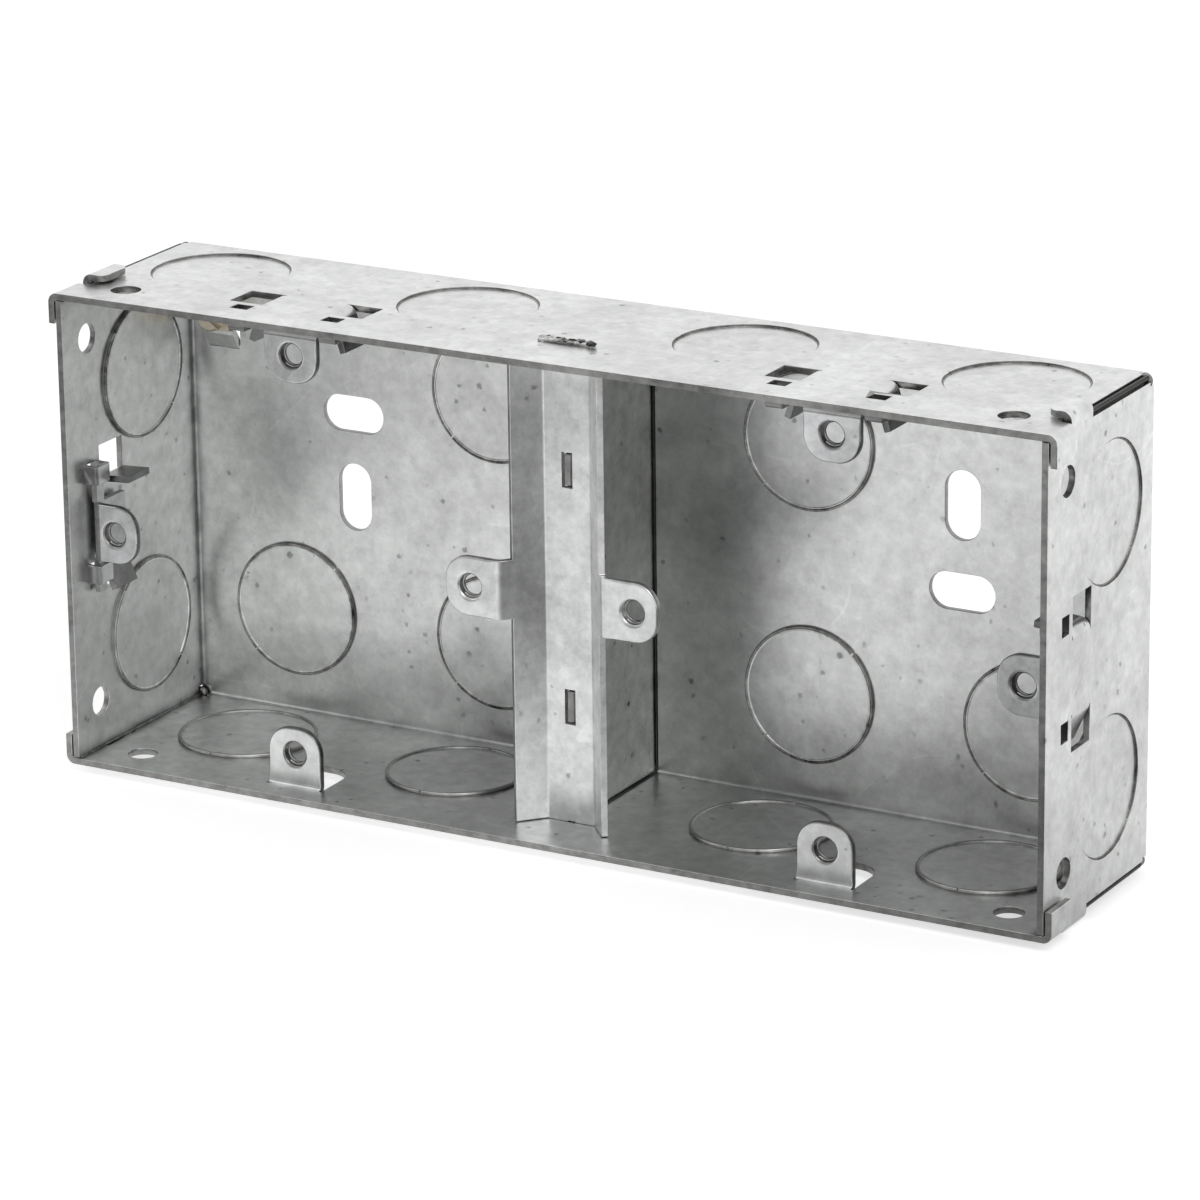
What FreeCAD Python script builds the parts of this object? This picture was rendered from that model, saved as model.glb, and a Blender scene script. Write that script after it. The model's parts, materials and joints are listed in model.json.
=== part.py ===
"""Flush back box for two wiring accessories side by side, folded from galvanised sheet.

Millimetres. X runs along the box, Y runs into the wall, Z is up. The origin is the centre of the
back's outer face, so the open front lies at Y = -box_depth.
"""
import FreeCAD
import Part
import math
import os

V = FreeCAD.Vector

# Overall sizes
box_width = 158.0
box_height = 72.0
box_depth = 35.0
sheet = 1.0
inner_bend = 0.6
seam_gap = 0.1
corner_relief_diameter = 2.4

# Accessory screws: an end screw stands 60.3 from its partner on the partition, and so do the
# screws at the top and bottom of each compartment
end_screw_inset = 4.55
side_screw_inset = 4.85
partition_screw_offset = 13.15
screw_hole_diameter = 3.5
ear_setback = 4.6
ear_width = 8.8
ear_tip = 4.0
ear_corner_radius = 3.6
collar_diameter = 5.6
collar_height = 0.9

# Knockouts
knockout_diameter = 20.5
knockout_step = 0.35
back_knockout_end_inset = 17.2
back_knockout_side_inset = 16.0
back_knockout_offset = 25.8
top_knockout_end_inset = 13.8
top_knockout_offset = 22.4
bottom_knockout_end_inset = 16.7
bottom_knockout_offset = 25.3
end_knockout_side_inset = 15.2
top_knockout_set = 3.8
wall_knockout_set = 2.7

# Fixing slots in the back and round fixing holes near the front edge
slot_width = 5.5
slot_length = 10.3
slot_offset = 6.7
slot_rise = 12.8
side_hole_diameter = 4.4
side_hole_inset = 8.1
side_hole_setback = 6.3

# Lock tabs at the front corners
lock_tab_depth = 6.4
lock_tab_drop = 4.6
cover_tab_start = 7.2
cover_tab_depth = 6.8
cover_tab_reach = 3.8
tab_clearance = 0.25

# Adjustable lugs, the straps that hold them and the stop tabs beside them
lug_gap = 0.5
lug_plate_depth = 7.9
wing_width = 1.8
wing_reach = 9.4
strap_pitch = 15.2
strap_length = 2.8
strap_thickness = 0.7
strap_clearance = 0.25
strap_chamfer = 0.3
stop_position = 6.0
stop_length = 4.9
stop_width = 5.6
stop_gap = 0.35
cut_clearance = 0.15
steep_angle = 72.0
upright_angle = 86.0
shallow_angle = 24.0

# Where each adjustable lug stands along its wall, from the middle of its travel
top_left_slide = 1.2
top_right_slide = 1.1
left_slide = -1.1
right_slide = -1.3

# Window behind each fixed bottom ear
window_clearance = 0.2
window_length = 9.9

# Partition between the two compartments
web_half_width = 3.96
web_setback = 9.8
flange_setback = 6.45
flange_root = 8.5
partition_clearance = 0.15
end_tab_inner = 0.5
end_tab_outer = 4.0
end_tab_rise = 0.6
end_tab_spread = 0.3
divider_slot_width = 1.7
divider_slot_length = 5.2
divider_slot_rise = 17.6
divider_tab_recess = 0.2
divider_side_gap = 0.35
divider_end_gap = 0.3
divider_corner_clearance = 0.6

# Earth terminal at the top left of the back
earth_end_inset = 5.8
earth_side_inset = 14.5
earth_foot = 2.7
earth_hole_margin = 0.3
earth_rise = 1.8
earth_width = 5.2
earth_length = 8.0
earth_screw_diameter = 3.5
earth_head_diameter = 4.6
earth_head_height = 1.8
earth_shank = 3.0
washer_size = 5.0
washer_thickness = 0.8

half_width = box_width / 2
half_height = box_height / 2
inner_width = half_width - sheet
inner_height = half_height - sheet
gang_x = (inner_width - end_screw_inset + partition_screw_offset) / 2
earth_x = earth_end_inset - inner_width
earth_root = inner_height - earth_side_inset
earth_hole_z = earth_root + earth_foot + earth_hole_margin + washer_size / 2
mid_bend = inner_bend + sheet / 2
ear_middle = ear_setback + sheet / 2
strap_middle = ear_setback + 0.6 + wing_width / 2
strap_half = wing_width / 2 + strap_clearance + strap_thickness
stop_start = strap_middle + strap_half + stop_gap
web_middle = web_setback + sheet / 2


class Wall:
    """One wall of the box: s along it, d behind the front edge, n inwards from its inner face."""

    def __init__(self, along, inward, inner):
        self.along, self.inward, self.inner = along, inward, inner

    def at(self, s, d, n):
        return self.along * s + V(0, d - box_depth, 0) + self.inward * (n - self.inner)

    def box(self, s, d, n):
        corners = [self.at(a, b, c) for a in s for b in d for c in n]
        low = V(*(min(p[i] for p in corners) for i in range(3)))
        high = V(*(max(p[i] for p in corners) for i in range(3)))
        size = high - low
        return Part.makeBox(size.x, size.y, size.z, low)

    def rod(self, s, d, diameter, n0, n1):
        return Part.makeCylinder(diameter / 2, n1 - n0, self.at(s, d, n0), self.inward)


top = Wall(V(1, 0, 0), V(0, 0, -1), inner_height)
bottom = Wall(V(1, 0, 0), V(0, 0, 1), inner_height)
left = Wall(V(0, 0, 1), V(1, 0, 0), inner_width)
right = Wall(V(0, 0, 1), V(-1, 0, 0), inner_width)


def bent_strip(points, thickness, inner, place, sweep):
    """Sheet of even thickness that follows a line of straight parts with rounded bends."""
    pts = [V(u, v, 0) for u, v in points]
    radius = inner + thickness / 2
    sides = {1: [], -1: []}
    for side, edges in sides.items():
        previous = None
        for i in range(len(pts)):
            before = (pts[i] - pts[i - 1]).normalize() if i else None
            after = (pts[i + 1] - pts[i]).normalize() if i + 1 < len(pts) else None
            if before is None or after is None:
                d = after if before is None else before
                here = pts[i] + V(-d.y, d.x, 0) * side * thickness / 2
                if previous is not None:
                    edges.append(("line", previous, here))
                previous = here
                continue
            turn = math.atan2(before.cross(after).z, before.dot(after))
            run = radius * math.tan(abs(turn) / 2)
            sign = 1 if turn > 0 else -1
            start, end = pts[i] - before * run, pts[i] + after * run
            centre = start + V(-before.y, before.x, 0) * sign * radius
            reach = radius - sign * side * thickness / 2
            a = centre + (start - centre).normalize() * reach
            b = centre + (end - centre).normalize() * reach
            middle = centre + (pts[i] - centre).normalize() * reach
            edges.append(("line", previous, a))
            edges.append(("arc", a, middle, b))
            previous = b
    one, other = sides[1], sides[-1]

    def move(p):
        return place(p.x, p.y)

    def build(edge):
        if edge[0] == "arc":
            return Part.Arc(*(move(p) for p in edge[1:])).toShape()
        return Part.makeLine(move(edge[1]), move(edge[2]))

    made = [build(e) for e in one] + [build(e) for e in other]
    made.append(Part.makeLine(move(one[0][1]), move(other[0][1])))
    made.append(Part.makeLine(move(one[-1][-1]), move(other[-1][-1])))
    wire = Part.Wire(Part.__sortEdges__(made))
    return Part.Face(wire).extrude(sweep)


def rounded_plate(half, start, tip, radius, place, sweep):
    """Plate with straight sides from start and two rounded corners at its tip."""
    c = radius * (1 - math.sqrt(0.5))
    p = [(-half, start), (-half, tip - radius), (-half + c, tip - c), (-half + radius, tip),
         (half - radius, tip), (half - c, tip - c), (half, tip - radius), (half, start)]
    q = [place(*pair) for pair in p]
    edges = [Part.makeLine(q[0], q[1]), Part.Arc(q[1], q[2], q[3]).toShape(),
             Part.makeLine(q[3], q[4]), Part.Arc(q[4], q[5], q[6]).toShape(),
             Part.makeLine(q[6], q[7]), Part.makeLine(q[7], q[0])]
    return Part.Face(Part.Wire(edges)).extrude(sweep)


def ear_outline(wall, s, hole, low):
    """Outline that trims an ear, as a solid across the ear's depth."""
    return rounded_plate(ear_width / 2, low, hole + ear_tip, ear_corner_radius,
                         lambda u, v: wall.at(s + u, -1.0, v), V(0, box_depth, 0))


def screw_hole(shape, wall, s, hole):
    """Adds the drawn collar behind an ear and cuts the hole for the accessory's screw."""
    back = ear_setback + sheet
    collar = Part.makeCylinder(collar_diameter / 2, sheet / 2 + collar_height,
                               wall.at(s, back - sheet / 2, hole), V(0, 1, 0))
    drill = Part.makeCylinder(screw_hole_diameter / 2, sheet + collar_height + 4,
                              wall.at(s, ear_setback - 2, hole), V(0, 1, 0))
    return shape.fuse(collar).cut(drill)


def knockouts(wall, places, setback):
    """Round discs sheared part of the way through a wall: sunk outside, as much proud inside."""
    hollows, discs = [], []
    for s in places:
        hollows.append(wall.rod(s, setback, knockout_diameter, -sheet - 1, knockout_step - sheet))
        discs.append(wall.rod(s, setback, knockout_diameter, -sheet / 2, knockout_step))
    return hollows, discs


def back_knockout(x, z):
    """The same for one place in the back, where the disc is pressed towards the front."""
    radius = knockout_diameter / 2
    hollow = Part.makeCylinder(radius, knockout_step + 1, V(x, -knockout_step, z), V(0, 1, 0))
    disc = Part.makeCylinder(radius, sheet / 2 + knockout_step, V(x, -sheet - knockout_step, z), V(0, 1, 0))
    return hollow, disc


def slot(x, z, horizontal):
    """Round ended fixing slot through the back."""
    run = (slot_length - slot_width) / 2
    ends = [V(x + a * run, -3, z) if horizontal else V(x, -3, z + a * run) for a in (-1, 1)]
    rods = [Part.makeCylinder(slot_width / 2, 4, e, V(0, 1, 0)) for e in ends]
    dx, dz = (run, slot_width / 2) if horizontal else (slot_width / 2, run)
    middle = Part.makeBox(2 * dx, 4, 2 * dz, V(x - dx, -3, z - dz))
    return rods[0].fuse([rods[1], middle])


def stop_tab(wall, s, side, angle):
    """Window beside a lug and the tab bent inwards from its edge, which stops the lug."""
    lean = math.radians(angle)
    hinge = s + side * stop_position
    bend = inner_bend + sheet / 2
    length = stop_length + sheet / 2
    line = [(hinge - side * 1.6, -sheet / 2), (hinge, -sheet / 2),
            (hinge + side * length * math.cos(lean), -sheet / 2 + length * math.sin(lean))]
    ends = (stop_start + cut_clearance, stop_start + cut_clearance + stop_width)
    tab = bent_strip(line, sheet, bend - sheet / 2, lambda u, v: wall.at(u, ends[0], v),
                     V(0, stop_width, 0))
    run = bend * math.tan(lean / 2)
    a, b = hinge - side * run, hinge + side * (stop_length + cut_clearance)
    window = wall.box((a, b), (stop_start, ends[1] + cut_clearance), (-sheet - 1, 1))
    return window, tab


def strap(wall, s):
    """Opening and the narrow strap pressed inwards across it, under which a lug's wing slides."""
    low, high = strap_middle - strap_half, strap_middle + strap_half
    rise = lug_gap + sheet + strap_thickness
    c = strap_chamfer
    outline = [(low, -sheet), (low, rise - c), (low + c, rise), (high - c, rise), (high, rise - c),
               (high, -sheet), (high - strap_thickness, -sheet), (high - strap_thickness, lug_gap + sheet),
               (low + strap_thickness, lug_gap + sheet), (low + strap_thickness, -sheet), (low, -sheet)]
    start = s - strap_length / 2
    wire = Part.makePolygon([wall.at(start, d, n) for d, n in outline])
    bar = Part.Face(wire).extrude(wall.along * strap_length)
    opening = wall.box((start, start + strap_length), (low, high), (-sheet - 1, 1))
    return opening, bar


def make_shell():
    """The box itself: one sheet folded up from the back, with everything cut in or drawn from it."""
    front = -box_depth
    x_mid, z_mid, y_mid = half_width - sheet / 2, half_height - sheet / 2, -sheet / 2
    run = inner_width - seam_gap
    rise = inner_height - seam_gap
    long_walls = bent_strip([(front, z_mid), (y_mid, z_mid), (y_mid, -z_mid), (front, -z_mid)],
                            sheet, inner_bend, lambda u, v: V(-run, u, v), V(2 * run, 0, 0))
    end_walls = bent_strip([(-x_mid, front), (-x_mid, y_mid), (x_mid, y_mid), (x_mid, front)],
                           sheet, inner_bend, lambda u, v: V(u, v, -rise), V(0, 0, 2 * rise))
    cover_room = cover_tab_depth + 2 * tab_clearance
    for sx in (-1, 1):
        for sz in (-1, 1):
            low_x = min(sx * half_width, sx * (inner_width - seam_gap - 0.5))
            low_z = min(sz * (half_height + 1), sz * (inner_height - 0.05))
            notch = Part.makeBox(sheet + seam_gap + 0.5, cover_room, sheet + 1.05,
                                 V(low_x, front + cover_tab_start - tab_clearance, low_z))
            long_walls = long_walls.cut(notch)
    shell = long_walls.fuse(end_walls)

    tabs = []
    for sx in (-1, 1):
        for sz in (-1, 1):
            outer = half_width + tab_clearance + sheet / 2
            lock = [(sx * (half_width - 3), sz * z_mid), (sx * outer, sz * z_mid),
                    (sx * outer, sz * (half_height - lock_tab_drop))]
            tabs.append(bent_strip(lock, sheet, 0.4, lambda u, v: V(u, front, v), V(0, lock_tab_depth, 0)))
            over = half_height + tab_clearance + sheet / 2
            tip = half_width - cover_tab_reach
            cover = [(sx * x_mid, sz * (half_height - 3)), (sx * x_mid, sz * over), (sx * tip, sz * over)]
            flap = bent_strip(cover, sheet, 0.4, lambda u, v: V(u, front + cover_tab_start, v),
                              V(0, cover_tab_depth, 0))
            trim = rounded_plate(cover_tab_depth / 2, -half_width - 1, -tip, 1.8,
                                 lambda u, v: V(-sx * v, front + cover_tab_start + cover_tab_depth / 2 + u,
                                                sz * (half_height - 4)), V(0, 0, sz * 8))
            tabs.append(flap.common(trim))

    cuts = []
    for sx in (-1, 1):
        for sz in (-1, 1):
            cuts.append(Part.makeCylinder(corner_relief_diameter / 2, 3,
                                          V(sx * (inner_width - seam_gap), -2.4,
                                            sz * (inner_height - seam_gap)), V(0, 1, 0)))
    for wall, reach in ((top, half_width), (bottom, half_width), (left, half_height), (right, half_height)):
        for sign in (-1, 1):
            cuts.append(wall.rod(sign * (reach - side_hole_inset), side_hole_setback,
                                 side_hole_diameter, -sheet - 2, 1))

    added = []
    top_setback = box_depth / 2 + top_knockout_set
    wall_setback = box_depth / 2 + wall_knockout_set
    top_places = (inner_width - top_knockout_end_inset, top_knockout_offset)
    bottom_places = (inner_width - bottom_knockout_end_inset, bottom_knockout_offset)
    end_place = inner_height - end_knockout_side_inset
    groups = [(top, [g * place for g in (-1, 1) for place in top_places], top_setback),
              (bottom, [g * place for g in (-1, 1) for place in bottom_places], wall_setback),
              (left, [-end_place, end_place], wall_setback),
              (right, [-end_place, end_place], wall_setback)]
    for group in groups:
        hollows, discs = knockouts(*group)
        cuts += hollows
        added += discs
    outer, inner, rise_z = (inner_width - back_knockout_end_inset, back_knockout_offset,
                            inner_height - back_knockout_side_inset)
    for x, z in ((-outer, -rise_z), (-inner, -rise_z), (-inner, rise_z),
                 (inner, rise_z), (inner, -rise_z), (outer, -rise_z)):
        hollow, disc = back_knockout(x, z)
        cuts.append(hollow)
        added.append(disc)

    left_slots, right_slots = -gang_x - slot_offset, gang_x + slot_offset
    cuts += [slot(left_slots, slot_rise, True), slot(left_slots, 0, False),
             slot(right_slots, slot_rise, False), slot(right_slots, 0, True)]

    lug_places = ((top, -gang_x, steep_angle, steep_angle), (top, gang_x, steep_angle, steep_angle),
                  (left, 0.0, shallow_angle, upright_angle), (right, 0.0, shallow_angle, upright_angle))
    for wall, s, low_angle, high_angle in lug_places:
        for side, angle in ((-1, low_angle), (1, high_angle)):
            opening, bar = strap(wall, s + side * strap_pitch / 2)
            window, tab = stop_tab(wall, s, side, angle)
            cuts += [opening, window]
            added += [bar, tab]

    ears = []
    hole = side_screw_inset
    for sx in (-1, 1):
        x = sx * gang_x
        half = ear_width / 2 + window_clearance
        start = ear_middle - mid_bend
        window = rounded_plate(half, start, start + window_length, half - 0.6,
                               lambda u, v: bottom.at(x + u, v, -sheet - 1), V(0, 0, sheet + 2))
        cuts.append(window)
        line = [(start - 1.2, -sheet / 2), (ear_middle, -sheet / 2), (ear_middle, hole + ear_tip + 1)]
        ear = bent_strip(line, sheet, inner_bend, lambda u, v: bottom.at(x - ear_width / 2, u, v),
                         V(ear_width, 0, 0))
        ear = ear.common(ear_outline(bottom, x, hole, -sheet - 1))
        ears.append(screw_hole(ear, bottom, x, hole))
    for wall in (top, bottom):
        for sign in (-1, 1):
            edge = sorted((sign * (end_tab_inner - cut_clearance), sign * (end_tab_outer + cut_clearance)))
            cuts.append(wall.box(edge, (web_setback - cut_clearance, web_setback + sheet + cut_clearance),
                                 (-sheet - 1, 1)))

    earth_end = earth_root + earth_foot + earth_length
    cuts.append(Part.makeBox(earth_width + 2 * cut_clearance, 4, earth_end - earth_root - 0.2,
                             V(earth_x - earth_width / 2 - cut_clearance, -3, earth_root + 0.2 + cut_clearance)))
    line = [(earth_root - 1.5, y_mid), (earth_root, y_mid),
            (earth_root + earth_foot, y_mid - earth_rise), (earth_end, y_mid - earth_rise)]
    arm = bent_strip(line, sheet, 0.4, lambda u, v: V(earth_x - earth_width / 2, v, u),
                     V(earth_width, 0, 0))
    arm = arm.cut(Part.makeCylinder(earth_screw_diameter / 2, 12, V(earth_x, -10, earth_hole_z), V(0, 1, 0)))

    shell = shell.fuse(tabs)
    shell = shell.cut(Part.makeCompound(cuts))
    return shell.fuse(added + ears + [arm]).removeSplitter()


def make_lug(wall, s, hole):
    """Adjustable lug: a plate against the wall, two wings under the straps, and a threaded ear."""
    middle = lug_gap + sheet / 2
    line = [(ear_setback + lug_plate_depth, middle), (ear_middle, middle), (ear_middle, hole + ear_tip + 1)]
    lug = bent_strip(line, sheet, inner_bend, lambda u, v: wall.at(s - ear_width / 2, u, v),
                     wall.along * ear_width)
    lug = lug.common(ear_outline(wall, s, hole, 0.0))
    wings = wall.box((s - wing_reach, s + wing_reach),
                     (strap_middle - wing_width / 2, strap_middle + wing_width / 2),
                     (lug_gap, lug_gap + sheet))
    inner_cut = wall.box((s - ear_width / 2, s + ear_width / 2),
                         (strap_middle - wing_width / 2 - 1, ear_middle + mid_bend),
                         (lug_gap - 1, lug_gap + sheet + 1))
    return screw_hole(lug.fuse(wings.cut(inner_cut)), wall, s, hole).removeSplitter()


def make_partition():
    """Trough shaped upright at the middle of the front, with an ear bent out at each side."""
    rise = inner_height - partition_clearance
    slope = (flange_root - web_half_width) / (web_middle - ear_middle)
    edge = web_half_width + (web_middle - flange_setback) * slope

    def section(points, low, high):
        return bent_strip(points, sheet, inner_bend, lambda u, v: V(u, v - box_depth, low),
                          V(0, 0, high - low))

    web = [(-web_half_width, web_middle), (web_half_width, web_middle)]
    body = section([(-edge, flange_setback)] + web + [(edge, flange_setback)], -rise, rise)
    end = partition_screw_offset + ear_tip
    tip = end + 1
    band = section([(-tip, ear_middle), (-flange_root, ear_middle)] + web
                   + [(flange_root, ear_middle), (tip, ear_middle)], -ear_width / 2, ear_width / 2)
    outline = []
    for sign in (-1, 1):
        outline.append(rounded_plate(ear_width / 2, 0, end, ear_corner_radius,
                                     lambda u, v: V(sign * v, -box_depth, u), V(0, box_depth, 0)))
    band = band.common(outline[0].fuse(outline[1]))
    body = body.fuse(band)

    for sign in (-1, 1):
        x = sign * partition_screw_offset
        collar = Part.makeCylinder(collar_diameter / 2, sheet / 2 + collar_height,
                                   V(x, ear_middle - box_depth, 0), V(0, 1, 0))
        drill = Part.makeCylinder(screw_hole_diameter / 2, 8, V(x, ear_setback - 2 - box_depth, 0), V(0, 1, 0))
        body = body.fuse(collar).cut(drill)
        z = sign * divider_slot_rise
        body = body.cut(Part.makeBox(divider_slot_width, 6, divider_slot_length,
                                     V(-divider_slot_width / 2, web_setback - 2 - box_depth,
                                       z - divider_slot_length / 2)))
    for wall in (top, bottom):
        for sign in (-1, 1):
            edges = sorted((sign * end_tab_inner, sign * end_tab_outer))
            depth = (web_setback, web_setback + sheet)
            body = body.fuse(wall.box(edges, depth, (-sheet, partition_clearance + 0.5)))
            wide = [edges[0] - end_tab_spread, edges[1] + end_tab_spread]
            head = wall.box(wide, (depth[0] - end_tab_spread, depth[1] + end_tab_spread),
                            (-sheet - end_tab_rise, -sheet))
            upper = [e for e in head.Edges
                     if abs(abs(e.CenterOfMass.z) - half_height - end_tab_rise) < 0.01]
            body = body.fuse(head.makeChamfer(0.25, upper))
    return body.removeSplitter()


def make_divider():
    """Flat plate from the back to the partition, with two tabs that stand in its slots."""
    rise = inner_height - partition_clearance
    start = web_setback + sheet - box_depth
    plate = Part.makeBox(sheet, -sheet - start, 2 * rise, V(-sheet / 2, start, -rise))
    corners = [e for e in plate.Edges
               if e.BoundBox.YMin > -sheet - 0.01 and abs(e.CenterOfMass.z) > rise - 0.01]
    plate = plate.makeChamfer(inner_bend + divider_corner_clearance, corners)
    tab_height = divider_slot_length - 2 * divider_end_gap
    for sign in (-1, 1):
        plate = plate.fuse(Part.makeBox(sheet, sheet - divider_tab_recess + 1, tab_height,
                                        V(-sheet / 2, start - sheet + divider_tab_recess,
                                          sign * divider_slot_rise - tab_height / 2)))
    return plate.removeSplitter()


def make_earth_washer():
    y = -sheet - earth_rise - washer_thickness
    z = earth_hole_z
    washer = Part.makeBox(washer_size, washer_thickness, washer_size,
                          V(earth_x - washer_size / 2, y, z - washer_size / 2))
    upright = [e for e in washer.Edges if abs(e.BoundBox.YLength - washer_thickness) < 0.01]
    washer = washer.makeChamfer(0.5, upright)
    return washer.cut(Part.makeCylinder(earth_screw_diameter / 2 + 0.15, 4, V(earth_x, y - 1, z), V(0, 1, 0)))


def make_earth_screw():
    y = -sheet - earth_rise - washer_thickness
    z = earth_hole_z
    head = Part.makeCylinder(earth_head_diameter / 2, earth_head_height, V(earth_x, y - earth_head_height, z),
                             V(0, 1, 0))
    rim = [e for e in head.Edges if abs(e.BoundBox.YMin - (y - earth_head_height)) < 0.01 and e.Length > 1
           and e.BoundBox.YLength < 0.01]
    head = head.makeChamfer(0.3, rim)
    shank = Part.makeCylinder(earth_screw_diameter / 2 - 0.05, earth_shank + 0.5, V(earth_x, y - 0.5, z),
                              V(0, 1, 0))
    cut = Part.makeBox(earth_head_diameter + 2, 0.9, 0.9,
                       V(earth_x - earth_head_diameter / 2 - 1, y - earth_head_height - 0.01, z - 0.45))
    cut.rotate(V(earth_x, y, z), V(0, 1, 0), 35)
    return head.fuse(shank).cut(cut).removeSplitter()


nodes = {
    "box_shell": make_shell(),
    "partition_bridge": make_partition(),
    "divider_plate": make_divider(),
    "top_left_lug": make_lug(top, -gang_x + top_left_slide, side_screw_inset),
    "top_right_lug": make_lug(top, gang_x + top_right_slide, side_screw_inset),
    "left_end_lug": make_lug(left, left_slide, end_screw_inset),
    "right_end_lug": make_lug(right, right_slide, end_screw_inset),
    "earth_washer": make_earth_washer(),
    "earth_screw": make_earth_screw(),
}

os.makedirs("parts", exist_ok=True)
for name, shape in nodes.items():
    shape.exportStep("parts/%s.step" % name)
    size = shape.BoundBox
    print("%-18s solids %d valid %s volume %8.1f  x %.2f %.2f  y %.2f %.2f  z %.2f %.2f"
          % (name, len(shape.Solids), shape.isValid(), shape.Volume,
             size.XMin, size.XMax, size.YMin, size.YMax, size.ZMin, size.ZMax))
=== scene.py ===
# %% [markdown]
# # A flush back box in galvanised sheet
#
# The real object is a shallow box for two wiring accessories. It is folded from one sheet of
# galvanised steel. A trough shaped partition stands in the middle, and four small lugs slide
# under straps. The CAD model gives every size, so this lesson is about the finish: mottled zinc,
# rounded punched edges, sheared lines, screw threads, and a plain studio.

import json
import math
import random

import bmesh
import bpy
from mathutils import Matrix, Vector
from mathutils.bvhtree import BVHTree


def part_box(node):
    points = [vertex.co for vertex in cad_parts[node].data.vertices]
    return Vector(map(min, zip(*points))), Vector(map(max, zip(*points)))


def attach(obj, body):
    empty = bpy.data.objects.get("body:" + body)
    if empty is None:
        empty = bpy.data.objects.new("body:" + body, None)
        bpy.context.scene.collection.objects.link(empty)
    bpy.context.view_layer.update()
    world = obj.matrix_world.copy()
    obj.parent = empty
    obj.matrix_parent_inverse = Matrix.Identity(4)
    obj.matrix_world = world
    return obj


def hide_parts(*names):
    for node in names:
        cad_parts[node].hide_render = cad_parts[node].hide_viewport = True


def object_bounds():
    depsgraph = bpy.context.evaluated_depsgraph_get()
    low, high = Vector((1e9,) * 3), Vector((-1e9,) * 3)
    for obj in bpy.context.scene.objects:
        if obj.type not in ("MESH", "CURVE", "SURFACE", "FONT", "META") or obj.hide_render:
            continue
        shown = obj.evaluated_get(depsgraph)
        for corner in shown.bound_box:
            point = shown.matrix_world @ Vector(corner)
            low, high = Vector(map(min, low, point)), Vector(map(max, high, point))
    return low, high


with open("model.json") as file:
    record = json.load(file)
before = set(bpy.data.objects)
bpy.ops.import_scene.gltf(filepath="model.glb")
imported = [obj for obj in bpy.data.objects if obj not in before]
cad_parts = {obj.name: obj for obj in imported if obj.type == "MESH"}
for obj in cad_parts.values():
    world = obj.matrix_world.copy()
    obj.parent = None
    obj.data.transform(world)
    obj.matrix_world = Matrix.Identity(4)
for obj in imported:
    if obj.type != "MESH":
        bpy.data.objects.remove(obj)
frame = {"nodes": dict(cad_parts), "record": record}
cad_low, cad_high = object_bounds()
MM = 0.001
box_front = cad_low.y
print("CAD box in mm:", [round(v / MM, 2) for v in (*cad_low, *cad_high)])

# %% [markdown]
# ## Mottled zinc
#
# Hot dipped zinc isn't one even grey. It has soft cloudy patches, faint crystals a few
# millimetres wide, fine rolling lines, small dark pits and a few curved scratches. Every sheet
# piece has that look, with its own strength, so it is built once as a shader node group.
# The group puts out a colour factor, a roughness and a height, and each material keeps its own
# Principled shader. An image texture would need unwrapping and would blur close up. Noise on
# Object coordinates needs neither and runs over the bends without a seam. A scratch is where a
# slow noise passes through one value, as a contour line on a map does.


# %% Helpers for node trees
def add_node(tree, kind, place=(0, 0), **values):
    """Adds a node, then sets its properties and the inputs that are given by name."""
    node = tree.nodes.new(kind)
    node.location = place
    for name, value in values.items():
        if hasattr(node, name):
            setattr(node, name, value)
        else:
            node.inputs[name.replace("_", " ")].default_value = value
    return node


def maths(tree, operation, a, b=None, c=None):
    """A Math node. Each of a, b and c is a number or an output to link."""
    node = tree.nodes.new("ShaderNodeMath")
    node.operation = operation
    for socket, value in zip(node.inputs, (a, b, c)):
        if value is None:
            continue
        if isinstance(value, (int, float)):
            socket.default_value = value
        else:
            tree.links.new(value, socket)
    return node.outputs[0]


def ranged(tree, value, low, high, to_low, to_high):
    """Maps a value from one range to another, without leaving the second."""
    node = tree.nodes.new("ShaderNodeMapRange")
    for name, number in (("From Min", low), ("From Max", high), ("To Min", to_low), ("To Max", to_high)):
        node.inputs[name].default_value = number
    tree.links.new(value, node.inputs["Value"])
    return node.outputs["Result"]


# %% The zinc group
# Noise scales count patches in a metre, so at 45 a patch is 22 mm wide
patch_scale, grain_scale, crystal_scale = 45.0, 460.0, 340.0
pit_scale, scratch_scale = 130.0, 30.0
# The rolling lines are long in X and thin across it
rolling_scale = (40.0, 1400.0, 1400.0)
# How much the slow waves of the sheet count in the height, beside the fine grain
wave_share = 9.0
smoothest, roughest = 0.25, 0.40


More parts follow.
